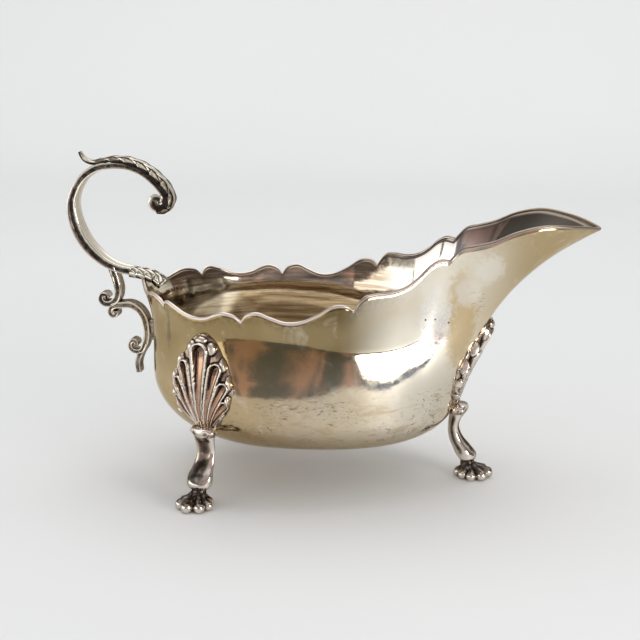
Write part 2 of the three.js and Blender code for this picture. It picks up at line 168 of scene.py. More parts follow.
def bowl_point(angle, level):
    """Outside of the bowl: angle from -180 to 180, level from 0 at the keel to 1 at the top of the sheet."""
    angle, level = matched(angle, level)
    half = np.minimum(np.abs(angle), 180)
    turn = np.radians(half)
    forwards = np.cos(turn)
    sideways = np.sin(turn)
    nothing = np.zeros_like(turn)
    at_front = half < 90
    fullness = np.where(at_front, BELLY_FULLNESS, BACK_RADIUS / BELLY_HALF_WIDTH - 1)
    belly = np.stack([
        np.where(at_front, BELLY_REACH, BACK_RADIUS) * forwards,
        BELLY_HALF_WIDTH * sideways * (1 + fullness * forwards**2),
        BELLY_HEIGHT - BELLY_HEIGHT_FALL * forwards,
    ], -1)
    keel = np.stack([KEEL_FORWARD + KEEL_HALF_LENGTH * forwards, nothing, nothing + KEEL_HEIGHT], -1)
    rim = sheet_edge(half)
    lean = np.where(at_front, np.radians(FRONT_LEAN * forwards**6), 0)
    heading = np.radians(read_table(RIM_FLARE, half, 1))
    tuck = np.tan(np.radians(read_table(WAIST_ROUND, half, 3, True, True)))
    up = np.stack([np.tan(lean) - tuck * np.cos(heading), -tuck * np.sin(heading), 1 + nothing], -1)
    up = unit(up)
    flare = np.radians(read_table(RIM_FLARE, half, 2, True, True))
    over = np.stack([np.cos(heading) * np.sin(flare), np.sin(heading) * np.sin(flare), np.cos(flare)], -1)
    side = SIDE_FULLNESS * np.linalg.norm(rim - belly, axis=-1, keepdims=True)
    bottom = (belly - keel) * [1, 1, 0] * BOTTOM_FLATNESS
    drop = (BOTTOM_RISE * (belly - keel)[..., 2] / np.cos(lean))[..., None]
    lower = [keel, keel + bottom, belly - up * drop, belly]
    upper = [belly, belly + up * side, rim - over * side, rim]
    t = np.where(level <= 0.5, level * 2, level * 2 - 1)[..., None]
    weights = [(1 - t) ** 3, 3 * (1 - t) ** 2 * t, 3 * (1 - t) * t**2, t**3]
    below = sum(weight * point for weight, point in zip(weights, lower))
    above = sum(weight * point for weight, point in zip(weights, upper))
    point = np.where(level[..., None] <= 0.5, below, above)
    peak = read_table(WAIST_ROUND, half, 2)
    share = np.clip(level * 2 - 1, 0, 1)
    share = np.where(
        share < peak, share / peak * WAIST_SHARE, 1 - (1 - share) / (1 - peak) * (1 - WAIST_SHARE),
    )
    waist = read_table(WAIST, share, 1, True) * read_table(WAIST_ROUND, half, 1)
    point[..., 0] -= waist * np.cos(heading)
    point[..., 1] -= waist * np.sin(heading)
    point[..., 1] *= np.sign(angle)
    point[..., 0] += BACK_CENTRE
    return point


def bowl_normal(angle, level):
    angle, level = matched(angle, level)
    angle_step, level_step = 0.25, 0.01
    after = (angle + angle_step + 180) % 360 - 180
    before = (angle - angle_step + 180) % 360 - 180
    around = bowl_point(after, level) - bowl_point(before, level)
    upper = np.minimum(level + level_step, 1)
    lower = np.maximum(level - level_step, 0)
    rising = bowl_point(angle, upper) - bowl_point(angle, lower)
    normal = unit(np.cross(around, rising))
    normal[level <= 0.001] = [0, 0, -1]
    middle = (np.abs(angle) < 0.001) | (np.abs(angle) > 179.999)
    normal[middle, 1] = 0
    return unit(normal)


def rim_level(angles):
    """Level at which the wall reaches the scalloped edge."""
    levels = np.linspace(0.7, 1, 160)
    heights = bowl_point(angles, levels[:, None])[..., 2]
    edge = rim_height(np.abs(angles))
    return np.array([np.interp(edge[i], heights[:, i], levels) for i in range(len(angles))])


def offset_point(angle, level, distance):
    distance = np.asarray(distance, float)[..., None]
    return bowl_point(angle, level) + bowl_normal(angle, level) * distance


def wall_place(leg, side, height):
    """Angle and level of the bowl's outside at a height and a distance to the side of a leg's line."""
    side, height = matched(side, height)
    across = np.array([-math.sin(leg), math.cos(leg), 0])
    angle = math.degrees(leg) + side
    level = np.full_like(side, 0.5)
    angle_step, level_step = 0.5, 0.01

    def measure(angle, level):
        point = bowl_point(angle, level)
        return np.stack([(point - [BACK_CENTRE, 0, 0]) @ across, point[..., 2]], -1)

    for _ in range(9):
        now = measure(angle, level)
        by_angle = (measure(angle + angle_step, level) - now) / angle_step
        by_level = (measure(angle, level + level_step) - now) / level_step
        gap = np.stack([side, height], -1) - now
        area = by_angle[..., 0] * by_level[..., 1] - by_angle[..., 1] * by_level[..., 0]
        angle = angle + (gap[..., 0] * by_level[..., 1] - gap[..., 1] * by_level[..., 0]) / area
        level = level + (gap[..., 1] * by_angle[..., 0] - gap[..., 0] * by_angle[..., 1]) / area
        level = np.clip(level, 0.05, 0.98)
    return angle, level


def smooth_line(points, count):
    """Evenly spaced places along a smooth line through the points, and its direction at each."""
    points = np.asarray(points, float)
    steps = np.linalg.norm(np.diff(points, axis=0), axis=1)
    rows = np.column_stack([np.concatenate([[0], np.cumsum(steps)]), points])
    fine = np.linspace(0, rows[-1, 0], 24 * len(points))
    dense = np.stack([read_table(rows, fine, c + 1) for c in range(points.shape[1])], -1)
    run = np.concatenate([[0], np.cumsum(np.linalg.norm(np.diff(dense, axis=0), axis=1))])
    even = np.linspace(0, run[-1], count)
    places = np.stack([np.interp(even, run, dense[:, c]) for c in range(points.shape[1])], -1)
    return places, unit(np.gradient(places, axis=0))


def grid_faces(rows, columns, closed=True):
    faces = []
    for low in range(0, (rows - 1) * columns, columns):
        high = low + columns
        for column in range(columns if closed else columns - 1):
            after = (column + 1) % columns
            faces.append((low + column, low + after, high + after, high + column))
    return faces


def write_shade(mesh, name, values):
    layer = mesh.attributes.new(name, "FLOAT", "POINT")
    layer.data.foreach_set("value", np.ascontiguousarray(values, np.float32))


def add_object(name, data):
    made = bpy.data.objects.new(name, data)
    bpy.context.scene.collection.objects.link(made)
    return made


def make_mesh(name, points, faces, shades=None):
    """Smooth-shaded mesh from points in millimetres, with all its faces turned outwards."""
    mesh = bpy.data.meshes.new(name)
    mesh.from_pydata((np.asarray(points) * MM).tolist(), [], faces)
    for shade_name, values in (shades or {}).items():
        write_shade(mesh, shade_name, values)
    shape = bmesh.new()
    shape.from_mesh(mesh)
    bmesh.ops.remove_doubles(shape, verts=shape.verts, dist=1e-6)
    bmesh.ops.recalc_face_normals(shape, faces=shape.faces)
    for face in shape.faces:
        face.smooth = True
    shape.to_mesh(mesh)
    shape.free()
    return add_object(name, mesh)


def vertex_arrays(mesh):
    points = np.empty(len(mesh.vertices) * 3, np.float32)
    normals = np.empty(len(mesh.vertices) * 3, np.float32)
    mesh.vertices.foreach_get("co", points)
    mesh.vertices.foreach_get("normal", normals)
    return points.reshape(-1, 3), normals.reshape(-1, 3)


def mark_hollows(made, rounds, depth):
    """Stores how hollow each point is: 0 on raised edges, 0.5 on plain skin, 1 in hollows."""
    mesh = made.data
    points, normals = vertex_arrays(mesh)
    edges = np.empty(len(mesh.edges) * 2, np.int32)
    mesh.edges.foreach_get("vertices", edges)
    edges = edges.reshape(-1, 2)
    counts = np.bincount(edges.ravel(), minlength=len(points))[:, None]
    soft = points.copy()
    for _ in range(rounds):
        total = np.zeros_like(soft)
        np.add.at(total, edges[:, 0], soft[edges[:, 1]])
        np.add.at(total, edges[:, 1], soft[edges[:, 0]])
        soft = 0.5 * soft + 0.5 * total / np.maximum(counts, 1)
    sunk = np.sum((soft - points) * normals, axis=1) / (depth * MM)
    write_shade(mesh, "hollow", np.clip(0.5 + 0.5 * sunk, 0, 1))


def finish_piece(made, node, material):
    made.data.materials.append(material)
    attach(made, "root")
    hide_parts(node)


def lofted(rings):
    """Points and faces of a closed solid through a stack of rings."""
    rings = np.asarray(rings, float)
    rows, count, _ = rings.shape
    points = rings.reshape(-1, 3)
    faces = grid_faces(rows, count)
    ends = [(0, points[:count].mean(0)), ((rows - 1) * count, points[-count:].mean(0))]
    for first, middle in ends:
        points = np.vstack([points, middle])
        for i in range(count):
            faces.append((len(points) - 1, first + i, first + (i + 1) % count))
    return points, faces


# Half section of the handle's bars in half thicknesses and half widths: rounded edges with a groove
# along each side and a slightly hollow inner face
BAR_SECTION = [
    [1.0, 0.0], [0.98, 0.45], [1.0, 0.76], [0.88, 0.97], [0.6, 0.97], [0.25, 0.86], [-0.25, 0.86],
    [-0.6, 0.97], [-0.9, 0.97], [-1.0, 0.76], [-0.8, 0.45], [-0.7, 0.0],
]
BAR_SIDES = 56


def bar_section():
    half = np.array(BAR_SECTION)
    mirrored = half[-2:0:-1] * [1, -1]
    closed = np.vstack([half, mirrored, half[:1]])
    places, _ = smooth_line(closed, BAR_SIDES + 1)
    return places[:-1]


def bar_grime(rows, faces):
    """Tarnish in the grooves of a bar with domed ends and on its wide faces, where below 0 is polish."""
    section = bar_section()
    groove = np.exp(-((section[:, 0] / 0.65) ** 4)) * (np.abs(section[:, 1]) > 0.7)
    face = faces * (np.abs(section[:, 1]) < 0.8)
    return np.concatenate([np.tile(groove + face, rows + 4), [0, 0]])


def swept(path, count, offsets):
    """Rings along an upright curve; offsets gives their heights off it and sideways places by share."""
    places, along = smooth_line(path, count)
    outwards = np.stack([-along[:, 1], along[:, 0]], -1)
    deep, wide = offsets(np.linspace(0, 1, count)[:, None])
    upright = places[:, None] + outwards[:, None] * deep[..., None]
    return np.stack([upright[..., 0], np.broadcast_to(wide, upright.shape[:2]), upright[..., 1]], -1)


def node(tree, kind, inputs=None, **settings):
    """Adds a shader node; an input is a plain value or another node's socket."""
    made = tree.nodes.new(kind)
    for name, value in settings.items():
        setattr(made, name, value)
    for name, value in (inputs or {}).items():
        if isinstance(value, bpy.types.NodeSocket):
            tree.links.new(value, made.inputs[name])
        else:
            made.inputs[name].default_value = value
    return made


def noise(place, scale, detail=4, roughness=0.55, distortion=0):
    made = node(place.id_data, "ShaderNodeTexNoise", {
        "Vector": place, "Scale": scale, "Detail": detail, "Roughness": roughness, "Distortion": distortion,
    })
    return made.outputs["Fac"]


def remap(value, low, high, to_low=0, to_high=1):
    inputs = {"Value": value, "From Min": low, "From Max": high, "To Min": to_low, "To Max": to_high}
    made = node(value.id_data, "ShaderNodeMapRange", inputs, interpolation_type="SMOOTHSTEP")
    return made.outputs["Result"]


def calculate(operation, first, second):
    return node(first.id_data, "ShaderNodeMath", {0: first, 1: second}, operation=operation).outputs[0]


def times(first, second):
    return calculate("MULTIPLY", first, second)


def mixed(share, first, second):
    """Mix of two colours; a colour is a socket or three numbers."""
    colours = [c if isinstance(c, bpy.types.NodeSocket) else (*c, 1) for c in (first, second)]
    inputs = {0: share, 6: colours[0], 7: colours[1]}
    return node(share.id_data, "ShaderNodeMix", inputs, data_type="RGBA").outputs[2]


def laid(tint, mask, strength, colour):
    """The tint with a colour laid over it where the mask is on."""
    return mixed(times(mask, strength), tint, colour)


def shade(tree, name):
    return node(tree, "ShaderNodeAttribute", attribute_name=name).outputs["Fac"]


def stretched(place, scale, turn=(0, 0, 0), move=(0, 0, 0)):
    inputs = {"Vector": place, "Location": move, "Rotation": turn, "Scale": scale}
    return node(place.id_data, "ShaderNodeMapping", inputs).outputs["Vector"]


def spot(place, centre, size, wobble):
    """Soft-edged patch on the surface round a place, 1 in the middle and 0 outside."""
    local = stretched(place, [1 / s for s in size], move=[-c / s for c, s in zip(centre, size)])
    reach = node(place.id_data, "ShaderNodeVectorMath", {0: local}, operation="LENGTH").outputs["Value"]
    uneven = remap(noise(place, 0.35, 4, 0.65), 0.3, 0.7, -wobble, wobble)
    return remap(calculate("ADD", reach, uneven), 0.5, 1, 1, 0)


def add_bump(shader, height, strength, distance):
    tree = height.id_data
    bump = node(tree, "ShaderNodeBump", {"Height": height, "Strength": strength, "Distance": distance * MM})
    tree.links.new(bump.outputs["Normal"], shader.inputs["Normal"])


def new_material(name):
    """Metal with its shader, and the place on the object in millimetres."""
    material = bpy.data.materials.new(name)
    material.use_nodes = True
    tree = material.node_tree
    shader = tree.nodes["Principled BSDF"]
    shader.inputs["Metallic"].default_value = 1
    place = node(tree, "ShaderNodeTexCoord").outputs["Object"]
    return material, tree, shader, stretched(place, (1 / MM, 1 / MM, 1 / MM))


# Tarnish, wear and painted highlights on the near wall: middle, size, edge unevenness
AMBER_STRIPE = [(45, -17, 58), (6.5, 10, 22), 0.14]
FROSTED_PATCH = [(36.5, -20, 59.5), (6, 9, 12), 0.4]
# Two pale spots painted as highlights on the near wall
PAINTED_HIGHLIGHT_SPOTS = [[(47, -18.5, 68.5), (5, 7, 6), 0.2], [(53.5, -19.5, 76), (6, 7, 6.5), 0.2]]
SCRATCHED = [(50.5, -16.5, 64.5), (4, 6, 5.5), 0.5]
SCRATCH_SLANT = math.radians(48)
DARK_STREAK = [(-49, -27, 55), (1.2, 2, 8), 0.4]
SPECKS = [(33.8, -20.8, 59.7), (36.8, -19.4, 59.6), (41.1, -18.4, 58.5)]
SPECK_SIZE = (0.42, 0.42, 0.42)

# Colours of the bowl's silver, its tarnish and its marks
OLIVE_BACK = (0.34, 0.25, 0.12)
OLIVE_MIDDLE = (0.16, 0.11, 0.038)
PALE_FRONT = (0.95, 0.89, 0.76)
CREAM_BACK = (0.5, 0.375, 0.215)
CREAM_FRONT = (0.71, 0.65, 0.55)
SPOUT_GOLD = (0.46, 0.345, 0.18)
CLOUD_GOLD = (0.6, 0.47, 0.27)
CLOUD_PALE = (0.86, 0.79, 0.66)
AMBER = (0.6, 0.43, 0.2)
FROSTED_WHITE = (0.9, 0.88, 0.83)
HIGHLIGHT_PALE = (0.88, 0.85, 0.78)
# Pale colour of the painted highlights
SCRATCH_BROWN = (0.36, 0.25, 0.13)
STREAK_GREY = (0.13, 0.13, 0.11)
SPECK_BLACK = (0.1, 0.08, 0.07)
SMUDGE_BROWN = (0.42, 0.31, 0.17)
PIT_BROWN = (0.24, 0.17, 0.1)
FRINGE_BROWN = (0.2, 0.14, 0.07)
LINING_BROWN = (0.36, 0.285, 0.205)
LINING_GOLD = (0.8, 0.71, 0.57)
THROAT_SILVER = (0.84, 0.82, 0.78)
SPOUT_GREY = (0.26, 0.25, 0.22)
RIM_BROWN = (0.16, 0.12, 0.09)
LIP_BACK = (0.8, 0.72, 0.66)
LIP_FRONT = (0.34, 0.28, 0.24)
BOWL_GLINT = (0.86, 0.8, 0.7, 1)


def wall_tint(place, axes):
    """Outside: olive above and cream below, golden on the spout, with paler clouds."""
    cloud = noise(place, 0.035, 3, 0.5, 0.4)
    patch = noise(place, 0.11, 5, 0.6, 0.8)
    olive = mixed(remap(axes["X"], -26, 0), OLIVE_BACK, OLIVE_MIDDLE)
    olive = mixed(remap(axes["X"], 6, 30), olive, PALE_FRONT)
    cream = mixed(remap(axes["X"], -30, 30), CREAM_BACK, CREAM_FRONT)
    tint = mixed(remap(axes["Z"], 36, 54), cream, olive)
    tint = mixed(remap(axes["X"], 38, 70, 0, 0.95), tint, SPOUT_GOLD)
    tint = mixed(remap(cloud, 0.42, 0.65, 0, 0.35), tint, CLOUD_GOLD)
    return mixed(remap(patch, 0.54, 0.75, 0, 0.35), tint, CLOUD_PALE)


def wall_marks(place, tint, frosted):
    """The tint with the near wall's stripe, painted highlights, scratches and specks laid over it."""
    slanted = stretched(place, (0.25, 0.6, 2.2), (0, SCRATCH_SLANT, 0))
    lines = remap(noise(slanted, 1, 5, 0.7), 0.52, 0.64)
    marks = [
        (spot(place, *AMBER_STRIPE), 0.75, AMBER),
        (frosted, 0.8, FROSTED_WHITE),
        # Pale painted highlights
        *((spot(place, *highlight_spot), 0.55, HIGHLIGHT_PALE) for highlight_spot in PAINTED_HIGHLIGHT_SPOTS),
        (times(spot(place, *SCRATCHED), lines), 0.75, SCRATCH_BROWN),
        (spot(place, *DARK_STREAK), 0.55, STREAK_GREY),
        *((spot(place, speck, SPECK_SIZE, 0.25), 1, SPECK_BLACK) for speck in SPECKS),
    ]
    for mask, strength, colour in marks:
        tint = laid(tint, mask, strength, colour)
    return tint


def belly_wear(place, belly):
    """Pits and level scratches under the belly."""
    level_lines = noise(stretched(place, (0.4, 0.4, 1.4)), 1, 6, 0.72, 0.5)
    pits = noise(place, 0.9, 5, 0.7)
    region = remap(noise(place, 0.1, 4, 0.6), 0.42, 0.55, 0.2, 1)
    worn = calculate("MAXIMUM", remap(level_lines, 0.55, 0.63), remap(pits, 0.6, 0.67))
    return times(times(worn, region), belly)


def lining_tint(place, axes, edge):
    """Inside: streaked at the back with level gold lines that are painted reflections of the near wall,
    clean under the throat, dark in the spout and along the rim.
    """
    # Painted reflections: level gold streaks across the brown lining
    streaks = noise(stretched(place, (0.03, 0.03, 0.5)), 1, 4, 0.6, 0.4)
    lining = mixed(remap(streaks, 0.36, 0.6), LINING_BROWN, LINING_GOLD)
    lining = mixed(remap(axes["X"], 12, 26), lining, THROAT_SILVER)
    lining = mixed(remap(axes["X"], 42, 54), lining, SPOUT_GREY)
    # Dark edge inside, below the lip: tarnish with painted shadow
    return laid(lining, edge, 0.8, RIM_BROWN)


def bowl_material():
    material, tree, shader, place = new_material("worn_silver_bowl")
    axes = node(tree, "ShaderNodeSeparateXYZ", {"Vector": place}).outputs
    inside = shade(tree, "inside")
    edge = shade(tree, "edge")
    lip = shade(tree, "lip")
    fine = noise(place, 0.7, 4, 0.6)
    frosted = spot(place, *FROSTED_PATCH)
    belly = remap(axes["Z"], 34, 39, 1, 0)
    worn = belly_wear(place, belly)
    smudge = remap(noise(stretched(place, (0.1, 0.1, 0.3)), 1, 5, 0.7, 0.6), 0.5, 0.66)
    # Dark broken fringe under the lip: tarnish with painted shadow below the bead
    fringe = times(edge, remap(fine, 0.42, 0.6))
    tint = wall_marks(place, wall_tint(place, axes), frosted)
    tint = laid(tint, times(smudge, belly), 0.45, SMUDGE_BROWN)
    tint = laid(tint, worn, 0.75, PIT_BROWN)
    tint = laid(tint, fringe, remap(axes["X"], 5, 25, 0.7, 0.12), FRINGE_BROWN)
    tint = mixed(inside, tint, lining_tint(place, axes, edge))
    tint = mixed(lip, tint, mixed(remap(axes["X"], -5, 25), LIP_BACK, LIP_FRONT))
    used = times(inside, remap(axes["Z"], 22, 44, 0.22, 0))
    rough = remap(fine, 0.3, 0.7, 0.06, 0.12)
    for more in (times(frosted, 0.2), times(worn, 0.25), used, times(lip, 0.28)):
        rough = calculate("ADD", rough, more)
    tree.links.new(tint, shader.inputs["Base Color"])
    tree.links.new(rough, shader.inputs["Roughness"])
    shader.inputs["Specular Tint"].default_value = BOWL_GLINT
    level_marks = noise(stretched(place, (0.5, 0.5, 3)), 1, 5, 0.7)
    height = calculate("ADD", noise(place, 0.25, 3, 0.5), times(level_marks, 0.12))
    height = calculate("SUBTRACT", height, times(worn, 0.3))
    add_bump(shader, height, 0.35, 0.08)
    return material


# Colours shared by the castings, and the bright, middle and dull silver of each
COPPER = (0.5, 0.31, 0.2)
# Dark colour of tarnish, and on the paws of painted shade
DARK_TARNISH_AND_SHADE = (0.035, 0.028, 0.026)
CASTING_GLINT = (0.4, 0.34, 0.3, 1)
CASTINGS = {
    "handle": [(0.96, 0.92, 0.8), (0.7, 0.63, 0.5), (0.36, 0.27, 0.22)],
    "leg": [(0.92, 0.86, 0.77), (0.42, 0.33, 0.26), (0.2, 0.14, 0.11)],
    "foot": [(0.9, 0.84, 0.76), (0.45, 0.37, 0.3), (0.2, 0.15, 0.12)],
}


def cast_material(name, bright, middle, dull):
    """Cast silver: bright edges, copper-toned flutes, and dark tarnish in the hollows."""
    material, tree, shader, place = new_material(name)
    hollow = shade(tree, "hollow")
    flute = shade(tree, "flute")
    grime = shade(tree, "grime")
    patch = noise(place, 0.4, 4, 0.6, 0.5)
    fine = noise(place, 2.5, 4, 0.6)
    skin = mixed(remap(patch, 0.35, 0.7), middle, dull)
    skin = laid(skin, flute, 0.8, COPPER)
    broken = calculate("ADD", hollow, remap(fine, 0.3, 0.7, -0.08, 0.08))
    broken = calculate("SUBTRACT", broken, times(flute, 0.22))
    raised = calculate("MAXIMUM", remap(hollow, 0.3, 0.48, 1, 0), times(grime, -1.0))
    skin = laid(skin, raised, 0.9, bright)
    smear = remap(noise(place, 0.6, 4, 0.6, 0.4), 0.3, 0.65, 0.6, 1.1)
    # Dark in tarnished hollows and where each piece is marked; over the tops of the paws this is painted
    # shade
    dark = calculate("MAXIMUM", remap(broken, 0.53, 0.76), times(grime, smear))
    dark = times(dark, remap(grime, -0.9, -0.1, 0.25, 1))
    polish = remap(grime, -1, 0, 0.2, 0)
    rough = calculate("ADD", remap(broken, 0.3, 0.9, 0.12, 0.45), polish)
    tree.links.new(mixed(dark, skin, DARK_TARNISH_AND_SHADE), shader.inputs["Base Color"])
    tree.links.new(rough, shader.inputs["Roughness"])
    shader.inputs["Specular Tint"].default_value = CASTING_GLINT
    add_bump(shader, fine, 0.25, 0.06)
    return material


def bowl_angles():
    half = []
    for panel, ribs in zip(RIM_PANELS, PANEL_RIBS):
        half.extend(np.linspace(panel[0][0], panel[-1][0], ribs, endpoint=False))
    half = np.array([*half, 180])
    return np.concatenate([half, -half[-2:0:-1]])


# Rows of the bowl's skin below and above the belly, and round the bead on its lip
ROWS_BELOW = 28
ROWS_ABOVE = 54
LIP_ROWS = 13

# How far the bead sits below the scalloped edge and how far down the dark edge reaches, tarnish with painted
# shadow under the lip, as shares of the wall
LIP_DROP = 0.009
EDGE_SHARE = 0.045


def make_bowl(material):
    """Wall up the outside, over the bead on the lip and down the inside, with marks for its material."""
    angles = bowl_angles()
    shares = np.concatenate([
        np.linspace(0, 0.5, ROWS_BELOW, endpoint=False), np.linspace(0.5, 1, ROWS_ABOVE),
    ])
    top = rim_level(angles) - LIP_DROP
    levels = [np.where(share <= 0.5, share, 0.5 + (2 * share - 1) * (top - 0.5)) for share in shares]
    normals = bowl_normal(angles, top)
    ends = bowl_point(angles, top)
    rising = unit(ends - bowl_point(angles, top - 0.01))
    rows = [bowl_point(angles, level) for level in levels]
    for turn in np.radians(np.linspace(-40, 220, LIP_ROWS)):
        reach = LIP_BEAD / 2 * math.cos(turn) - WALL / 2
        rows.append(ends + normals * reach + rising * LIP_BEAD / 2 * (0.65 + math.sin(turn)))
    rows.extend(offset_point(angles, level, -WALL) for level in levels[::-1])
    below = np.clip(1 - (1 - shares) / EDGE_SHARE, 0, 1)
    plain = [0] * len(levels)
    marks = {
        "inside": [*plain, *[0] * (LIP_ROWS - 2), *[1] * (len(levels) + 2)],
        "edge": [*below, *[0] * (LIP_ROWS - 3), 0.5, 1, 1, *below[::-1]],
        "lip": [*plain, 0, 0.5, *[1] * (LIP_ROWS - 5), 0.5, 0, 0, *plain],
    }
    shades = {name: np.repeat(values, len(angles)) for name, values in marks.items()}
    made = make_mesh("bowl_skin", np.concatenate(rows), grid_faces(len(rows), len(angles)), shades)
    finish_piece(made, "bowl", material)


# Handle sizes and curves, from the top of the rim at the back of the bowl: back or forward, up
SCROLL_WIDTH = 6.8
SCROLL_THICKNESS = 2.6
LEAF_SPREAD = 1.15
LEAFLETS = 9
LEAF_CHANNEL = 0.36
RUFFLES = 4.2
STRUT_WIDTH = 5.6
STRUT_THICKNESS = 2.6
BRACKET_WIDTH = 5.4
BRACKET_THICKNESS = 2.4
SCROLL_PATH = [
    [-3.3, 2.1], [-7.3, 2.8], [-11.6, 4.5], [-15.4, 7.3], [-18.9, 11.1], [-21.6, 16], [-23.1, 21.2],
    [-23.1, 26], [-21.6, 30.3], [-18.7, 34.4], [-14.4, 37.2], [-9, 38.3], [-3.3, 38], [2.1, 35.9],
    [5.2, 33.5], [7.6, 31], [9.1, 28.6], [9.3, 26.6], [8.4, 25], [6.9, 24.7], [6.1, 25.7], [6.7, 27.1],
]
LEAF_PATH = [
    [-20.2, 42.6], [-18.9, 40.4], [-15.9, 39.2], [-12, 39.9], [-8.9, 40.3], [-3, 39.9], [3.2, 37.4],
    [6.5, 34.9], [9.1, 32.2], [10.8, 29.4], [11.3, 26.8], [10.5, 24.6], [8.8, 23.3], [6.8, 23],
]
RIM_LEAF_PATH = [[-3.7, 2.1], [-1.6, 1.9], [0.6, 1.6], [3.4, 1], [6, -0.3], [8, -2]]
STRUT_PATH = [
    [-10.2, 3.2], [-8.7, -1.4], [-8.1, -5], [-8.9, -7.9], [-11.1, -9.5], [-13.2, -9.4], [-14.3, -8],
    [-13.9, -6.6], [-12.6, -6.5], [-12.1, -7.6],
]
BRACKET_PATH = [
    [-9.2, -12.1], [-9.1, -13.2], [-10.2, -13.7], [-11.1, -12.8], [-10.9, -11.2], [-9.4, -10.1], [-7, -9.8],
    [-4.3, -9.7], [-1.4, -11], [0.6, -13.6], [1.5, -17], [1.6, -20.8], [0.8, -24], [-0.9, -27],
    [-2, -30.4], [-1.7, -33.8],
]
BRACKET_CURL = [
    [0.9, -23.2], [-0.3, -25.6], [-2.2, -26.3], [-4, -25.5], [-4.5, -23.7], [-3.4, -22.4], [-2.2, -23],
    [-2.3, -24.1],
]
BRACKET_PAD = [[1.2, -18.6], [5.6, -18.6]]
BRACKET_PAD_HEIGHT = 7
BRACKET_SPAN = 17.5
BRACKET_START = -12.3


def place_handle(path):
    rim = bowl_point(180, 1)
    return np.asarray(path, float) + [rim[0], rim[2]]


def reach_wall(path):
    """Stretches the bracket from the strut's curl to the wall."""
    rim = bowl_point(180, 1)
    levels = np.linspace(0.5, 1, 200)
    back = bowl_point(180, levels)
    span = np.interp(rim[2] + BRACKET_PAD[0][1], back[:, 2], back[:, 0]) - rim[0] - BRACKET_START
    path = np.array(path, float)
    path[:, 0] = BRACKET_START + (path[:, 0] - BRACKET_START) * span / BRACKET_SPAN
    return path


def joined(*parts):
    points, faces = [], []
    for more, sides in parts:
        start = sum(len(p) for p in points)
        points.append(more)
        faces.extend(tuple(i + start for i in side) for side in sides)
    return np.concatenate(points), faces


def rounded_bar(path, thickness, width, count):
    """Bar with domed ends; thickness and width are functions of the share along it."""
    section = bar_section() / 2
    rings = swept(path, count, lambda t: (section[:, 0] * thickness(t), section[:, 1] * width(t)))
    caps = []
    for ring, after in ((rings[0], rings[1]), (rings[-1], rings[-2])):
        middle = ring.mean(0)
        outwards = unit(middle - after.mean(0))
        reach = 0.35 * np.linalg.norm(ring - middle, axis=1).min()
        turns = np.radians([70, 40])
        caps.append([middle + (ring - middle) * math.cos(t) + outwards * reach * math.sin(t) for t in turns])
    return lofted([*caps[0], *rings, *caps[1][::-1]])


def fuse(made, voxel, smoothing=3):
    """Runs the overlapping parts of a casting together into one skin."""
    remesh = made.modifiers.new("fuse", "REMESH")
    remesh.mode = "VOXEL"
    remesh.voxel_size = voxel * MM
    remesh.use_smooth_shade = True
    soften = made.modifiers.new("soften", "SMOOTH")
    soften.factor = 0.5
    soften.iterations = smoothing
    graph = bpy.context.evaluated_depsgraph_get()
    mesh = bpy.data.meshes.new_from_object(made.evaluated_get(graph))
    made.modifiers.clear()
    made.data = mesh
    for polygon in mesh.polygons:
        polygon.use_smooth = True


def saw(values):
    """Leaf-edge wave: rises slowly from 0 to 1, then falls back quickly."""
    phase = values % 1
    return np.where(phase < 0.82, np.sin(phase / 0.82 * math.pi / 2), 1 - ((phase - 0.82) / 0.18) ** 2)


def relief_bar(path, half_width, upper, lower, count, columns):
    """Leaf along an upright curve; upper and lower give its two faces' heights at (across, along)."""
    across = side_to_side(columns)
    back = across[::-1]

    def offsets(t):
        heights = [np.broadcast_to(face, (count, columns)) for face in (upper(across, t), lower(back, t))]
        return np.concatenate(heights, axis=1), np.concatenate([across, back]) * half_width(t)

    return lofted(swept(path, count, offsets))


